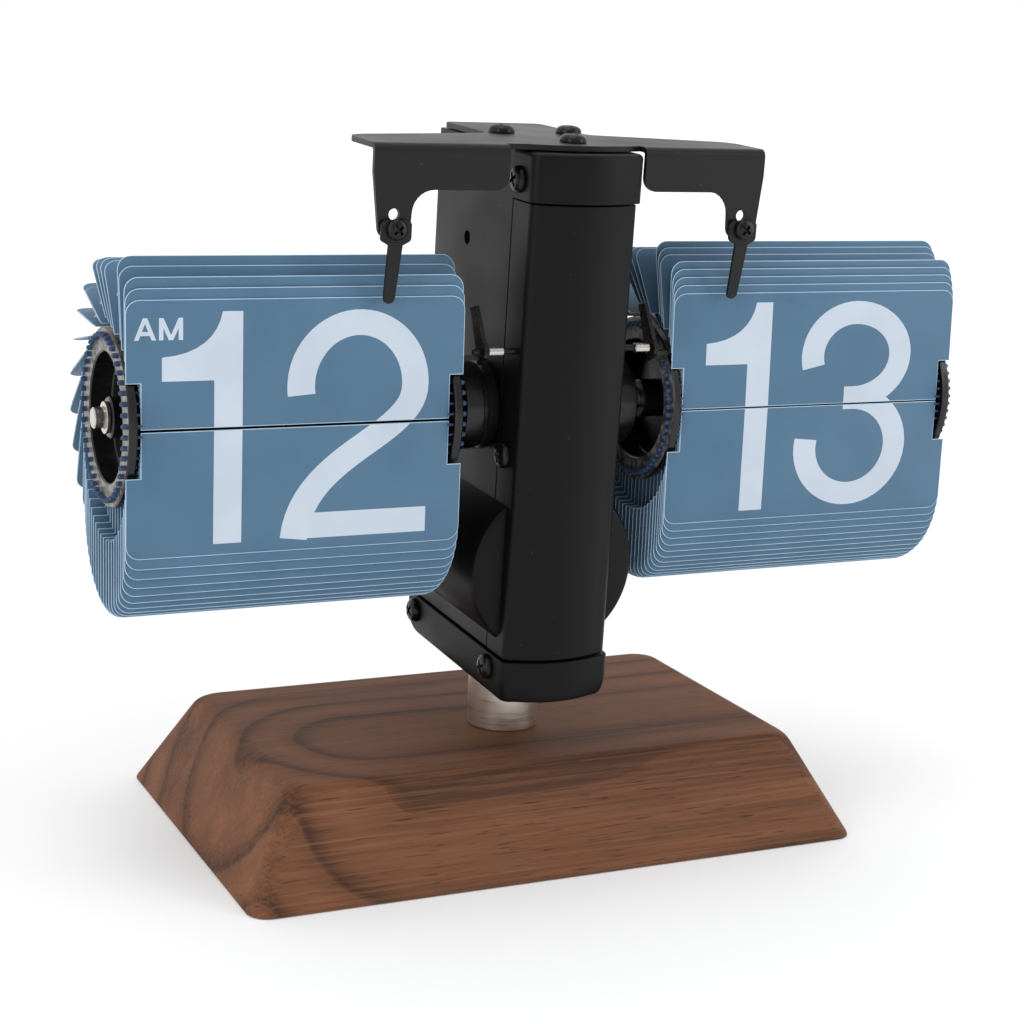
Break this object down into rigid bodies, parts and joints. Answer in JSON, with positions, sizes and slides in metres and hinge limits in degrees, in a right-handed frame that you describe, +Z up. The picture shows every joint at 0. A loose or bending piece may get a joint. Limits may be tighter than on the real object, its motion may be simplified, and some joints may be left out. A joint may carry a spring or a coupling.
{
  "type": "flip number clock",
  "caption": "Flip number clock: sloped walnut base, steel post and slim black column carrying drums of hinged number leaves for hours and minutes",
  "frame": {"origin": "centre of the wooden base's underside", "axes": "+X to the viewer's right along the drums' axles, -Y towards the viewer, +Z up"},
  "size_m": [0.2106, 0.1006, 0.1693],
  "materials": {
    "walnut": "satin oiled walnut, grain along the width",
    "steel": "brushed steel",
    "black_metal": "satin black paint with a fine texture",
    "black_gloss": "glossy black moulded plastic",
    "blue_leaf": "matt slate blue sheet with pale printed figures",
    "dark_screw": "blackened steel",
    "brass": "machined brass",
    "pale_plastic": "plain moulded plastic",
    "cell_wrap": "plain sleeve with no print"
  },
  "bodies": {
    "frame": {"wooden_base": "walnut", "base_bolt": "steel", "post": "steel", "bottom_cap": "black_metal", "front_shell": "black_metal", "rear_housing": "black_metal", "top_cap": "black_metal", "top_bracket": "black_metal", "hour_finger_screw": "dark_screw", "minute_finger_screw": "dark_screw", "bracket_screw_front": "dark_screw", "bracket_screw_left": "dark_screw", "bracket_screw_right": "dark_screw", "cap_screw_front": "dark_screw", "cap_screw_rear": "dark_screw", "shell_screw_top": "dark_screw", "shell_screw_middle": "dark_screw", "movement": "pale_plastic", "battery_cell": "cell_wrap", "hour_bearing": "black_gloss", "minute_bearing": "black_gloss", "pawl_rod": "steel"},
    "hour_finger": {"hour_finger": "black_metal"},
    "minute_finger": {"minute_finger": "black_metal"},
    "time_set_knob": {"time_set_knob": "black_gloss"},
    "motor_pinion": {"motor_pinion": "brass"},
    "battery_door": {"battery_door": "black_gloss"},
    "hour_pawl": {"hour_pawl": "black_metal"},
    "minute_pawl": {"minute_pawl": "black_metal"},
    "hour_drum": {"hour_disc_outer": "black_gloss", "hour_disc_inner": "black_gloss", "hour_axle": "steel", "hour_axle_clip": "steel"},
    "minute_drum": {"minute_disc_outer": "black_gloss", "minute_disc_inner": "black_gloss", "minute_axle": "steel", "minute_axle_clip": "steel", "minute_gear": "brass"},
    "hour_leaf_upper_front": {"hour_leaf_upper_front": "blue_leaf"},
    "hour_leaf_upper_standing": {"hour_leaf_upper_standing": "blue_leaf"},
    "hour_leaf_upper_leaning": {"hour_leaf_upper_leaning": "blue_leaf"},
    "hour_leaf_top_lying": {"hour_leaf_top_lying": "blue_leaf"},
    "hour_leaf_back_lying": {"hour_leaf_back_lying": "blue_leaf"},
    "hour_leaf_back_hanging": {"hour_leaf_back_hanging": "blue_leaf"},
    "hour_leaf_lower_back": {"hour_leaf_lower_back": "blue_leaf"},
    "hour_leaf_lower_bottom": {"hour_leaf_lower_bottom": "blue_leaf"},
    "hour_leaf_lower_middle": {"hour_leaf_lower_middle": "blue_leaf"},
    "hour_leaf_lower_behind": {"hour_leaf_lower_behind": "blue_leaf"},
    "hour_leaf_lower_front": {"hour_leaf_lower_front": "blue_leaf"},
    "minute_leaf_upper_front": {"minute_leaf_upper_front": "blue_leaf"},
    "minute_leaf_upper_standing": {"minute_leaf_upper_standing": "blue_leaf"},
    "minute_leaf_upper_leaning": {"minute_leaf_upper_leaning": "blue_leaf"},
    "minute_leaf_top_lying": {"minute_leaf_top_lying": "blue_leaf"},
    "minute_leaf_back_lying": {"minute_leaf_back_lying": "blue_leaf"},
    "minute_leaf_back_hanging": {"minute_leaf_back_hanging": "blue_leaf"},
    "minute_leaf_lower_back": {"minute_leaf_lower_back": "blue_leaf"},
    "minute_leaf_lower_bottom": {"minute_leaf_lower_bottom": "blue_leaf"},
    "minute_leaf_lower_middle": {"minute_leaf_lower_middle": "blue_leaf"},
    "minute_leaf_lower_behind": {"minute_leaf_lower_behind": "blue_leaf"},
    "minute_leaf_lower_front": {"minute_leaf_lower_front": "blue_leaf"}
  },
  "joints": [
    {"name": "hour_drum_turn", "type": "hinge", "parent": "frame", "child": "hour_drum", "pos_m": [0, -0.0184, 0.1059], "axis": [1, 0, 0], "range_deg": [0, 7.5]},
    {"name": "minute_drum_turn", "type": "hinge", "parent": "frame", "child": "minute_drum", "pos_m": [0, -0.0184, 0.1059], "axis": [1, 0, 0], "range_deg": [0, 6]},
    {"name": "time_set_knob_turn", "type": "hinge", "parent": "frame", "child": "time_set_knob", "pos_m": [0, 0.01612, 0.13759], "axis": [0, 0.9988, 0.048], "range_deg": [0, 36]},
    {"name": "motor_pinion_turn", "type": "hinge", "parent": "frame", "child": "motor_pinion", "pos_m": [0, -0.0106, 0.11448], "axis": [1, 0, 0], "range_deg": [-18, 0]},
    {"name": "battery_door_twist", "type": "hinge", "parent": "frame", "child": "battery_door", "pos_m": [0, 0.03159, 0.07196], "axis": [0, 0.9988, 0.048], "range_deg": [0, 40]},
    {"name": "hour_finger_swing", "type": "hinge", "parent": "frame", "child": "hour_finger", "pos_m": [-0.045, -0.04045, 0.14809], "axis": [0, 0.9988, 0.048], "range_deg": [-8, 8]},
    {"name": "minute_finger_swing", "type": "hinge", "parent": "frame", "child": "minute_finger", "pos_m": [0.0396, -0.04045, 0.14809], "axis": [0, 0.9988, 0.048], "range_deg": [-8, 8]},
    {"name": "hour_pawl_lift", "type": "hinge", "parent": "frame", "child": "hour_pawl", "pos_m": [0, -0.03513, 0.12061], "axis": [1, 0, 0], "range_deg": [-8, 0], "stiffness_Nm_per_rad": 0.02},
    {"name": "minute_pawl_lift", "type": "hinge", "parent": "frame", "child": "minute_pawl", "pos_m": [0, -0.03513, 0.12061], "axis": [1, 0, 0], "range_deg": [-8, 0], "stiffness_Nm_per_rad": 0.02},
    {"name": "hour_leaf_upper_front_flip", "type": "hinge", "parent": "hour_drum", "child": "hour_leaf_upper_front", "pos_m": [0, -0.03612, 0.10706], "axis": [1, 0, 0], "range_deg": [0, 160]},
    {"name": "hour_leaf_upper_standing_tip", "type": "hinge", "parent": "hour_drum", "child": "hour_leaf_upper_standing", "pos_m": [0, -0.03433, 0.11375], "axis": [1, 0, 0], "range_deg": [-5.79, 0]},
    {"name": "hour_leaf_upper_leaning_tip", "type": "hinge", "parent": "hour_drum", "child": "hour_leaf_upper_leaning", "pos_m": [0, -0.02827, 0.12067], "axis": [1, 0, 0], "range_deg": [0, 4.58]},
    {"name": "hour_leaf_top_lying_lift", "type": "hinge", "parent": "hour_drum", "child": "hour_leaf_top_lying", "pos_m": [0, -0.01494, 0.12332], "axis": [1, 0, 0], "range_deg": [0, 6]},
    {"name": "hour_leaf_back_lying_lift", "type": "hinge", "parent": "hour_drum", "child": "hour_leaf_back_lying", "pos_m": [0, -0.00247, 0.11375], "axis": [1, 0, 0], "range_deg": [0, 6]},
    {"name": "hour_leaf_back_hanging_plumb", "type": "hinge", "parent": "hour_drum", "child": "hour_leaf_back_hanging", "pos_m": [0, -0.00158, 0.10019], "axis": [1, 0, 0], "range_deg": [-7.51, 0]},
    {"name": "hour_leaf_lower_back_plumb", "type": "hinge", "parent": "hour_drum", "child": "hour_leaf_lower_back", "pos_m": [0, -0.00853, 0.09113], "axis": [1, 0, 0], "range_deg": [-7.51, 0]},
    {"name": "hour_leaf_lower_bottom_plumb", "type": "hinge", "parent": "hour_drum", "child": "hour_leaf_lower_bottom", "pos_m": [0, -0.01956, 0.08818], "axis": [1, 0, 0], "range_deg": [-7.51, 0]},
    {"name": "hour_leaf_lower_middle_plumb", "type": "hinge", "parent": "hour_drum", "child": "hour_leaf_lower_middle", "pos_m": [0, -0.02827, 0.09113], "axis": [1, 0, 0], "range_deg": [-7.51, 0]},
    {"name": "hour_leaf_lower_behind_plumb", "type": "hinge", "parent": "hour_drum", "child": "hour_leaf_lower_behind", "pos_m": [0, -0.03433, 0.09804], "axis": [1, 0, 0], "range_deg": [-7.51, 0]},
    {"name": "hour_leaf_lower_front_plumb", "type": "hinge", "parent": "hour_drum", "child": "hour_leaf_lower_front", "pos_m": [0, -0.03612, 0.10474], "axis": [1, 0, 0], "range_deg": [-7.51, 0]},
    {"name": "minute_leaf_upper_front_flip", "type": "hinge", "parent": "minute_drum", "child": "minute_leaf_upper_front", "pos_m": [0, -0.03614, 0.10683], "axis": [1, 0, 0], "range_deg": [0, 160]},
    {"name": "minute_leaf_upper_standing_tip", "type": "hinge", "parent": "minute_drum", "child": "minute_leaf_upper_standing", "pos_m": [0, -0.03498, 0.11227], "axis": [1, 0, 0], "range_deg": [-5.02, 0]},
    {"name": "minute_leaf_upper_leaning_tip", "type": "hinge", "parent": "minute_drum", "child": "minute_leaf_upper_leaning", "pos_m": [0, -0.02807, 0.12079], "axis": [1, 0, 0], "range_deg": [0, 7.17]},
    {"name": "minute_leaf_top_lying_lift", "type": "hinge", "parent": "minute_drum", "child": "minute_leaf_top_lying", "pos_m": [0, -0.01562, 0.12344], "axis": [1, 0, 0], "range_deg": [0, 6]},
    {"name": "minute_leaf_back_lying_lift", "type": "hinge", "parent": "minute_drum", "child": "minute_leaf_back_lying", "pos_m": [0, -0.0035, 0.11557], "axis": [1, 0, 0], "range_deg": [0, 6]},
    {"name": "minute_leaf_back_hanging_plumb", "type": "hinge", "parent": "minute_drum", "child": "minute_leaf_back_hanging", "pos_m": [0, -0.00125, 0.1013], "axis": [1, 0, 0], "range_deg": [-6.01, 0]},
    {"name": "minute_leaf_lower_back_plumb", "type": "hinge", "parent": "minute_drum", "child": "minute_leaf_lower_back", "pos_m": [0, -0.00873, 0.09101], "axis": [1, 0, 0], "range_deg": [-6.01, 0]},
    {"name": "minute_leaf_lower_bottom_plumb", "type": "hinge", "parent": "minute_drum", "child": "minute_leaf_lower_bottom", "pos_m": [0, -0.01933, 0.08816], "axis": [1, 0, 0], "range_deg": [-6.01, 0]},
    {"name": "minute_leaf_lower_middle_plumb", "type": "hinge", "parent": "minute_drum", "child": "minute_leaf_lower_middle", "pos_m": [0, -0.02807, 0.09101], "axis": [1, 0, 0], "range_deg": [-6.01, 0]},
    {"name": "minute_leaf_lower_behind_plumb", "type": "hinge", "parent": "minute_drum", "child": "minute_leaf_lower_behind", "pos_m": [0, -0.03498, 0.09953], "axis": [1, 0, 0], "range_deg": [-6.01, 0]},
    {"name": "minute_leaf_lower_front_plumb", "type": "hinge", "parent": "minute_drum", "child": "minute_leaf_lower_front", "pos_m": [0, -0.03614, 0.10497], "axis": [1, 0, 0], "range_deg": [-6.01, 0]}
  ],
  "couplings": [
    {"joint": "time_set_knob_turn", "follows": "minute_drum_turn", "ratio": 6},
    {"joint": "motor_pinion_turn", "follows": "minute_drum_turn", "ratio": -3},
    {"joint": "hour_leaf_upper_standing_tip", "follows": "hour_drum_turn", "ratio": -0.77},
    {"joint": "hour_leaf_upper_leaning_tip", "follows": "hour_drum_turn", "ratio": 0.60947},
    {"joint": "hour_leaf_back_hanging_plumb", "follows": "hour_drum_turn", "ratio": -1},
    {"joint": "hour_leaf_lower_back_plumb", "follows": "hour_drum_turn", "ratio": -1},
    {"joint": "hour_leaf_lower_bottom_plumb", "follows": "hour_drum_turn", "ratio": -1},
    {"joint": "hour_leaf_lower_middle_plumb", "follows": "hour_drum_turn", "ratio": -1},
    {"joint": "hour_leaf_lower_behind_plumb", "follows": "hour_drum_turn", "ratio": -1},
    {"joint": "hour_leaf_lower_front_plumb", "follows": "hour_drum_turn", "ratio": -1},
    {"joint": "minute_leaf_upper_standing_tip", "follows": "minute_drum_turn", "ratio": -0.83571},
    {"joint": "minute_leaf_upper_leaning_tip", "follows": "minute_drum_turn", "ratio": 1.1936},
    {"joint": "minute_leaf_back_hanging_plumb", "follows": "minute_drum_turn", "ratio": -1},
    {"joint": "minute_leaf_lower_back_plumb", "follows": "minute_drum_turn", "ratio": -1},
    {"joint": "minute_leaf_lower_bottom_plumb", "follows": "minute_drum_turn", "ratio": -1},
    {"joint": "minute_leaf_lower_middle_plumb", "follows": "minute_drum_turn", "ratio": -1},
    {"joint": "minute_leaf_lower_behind_plumb", "follows": "minute_drum_turn", "ratio": -1},
    {"joint": "minute_leaf_lower_front_plumb", "follows": "minute_drum_turn", "ratio": -1}
  ]
}
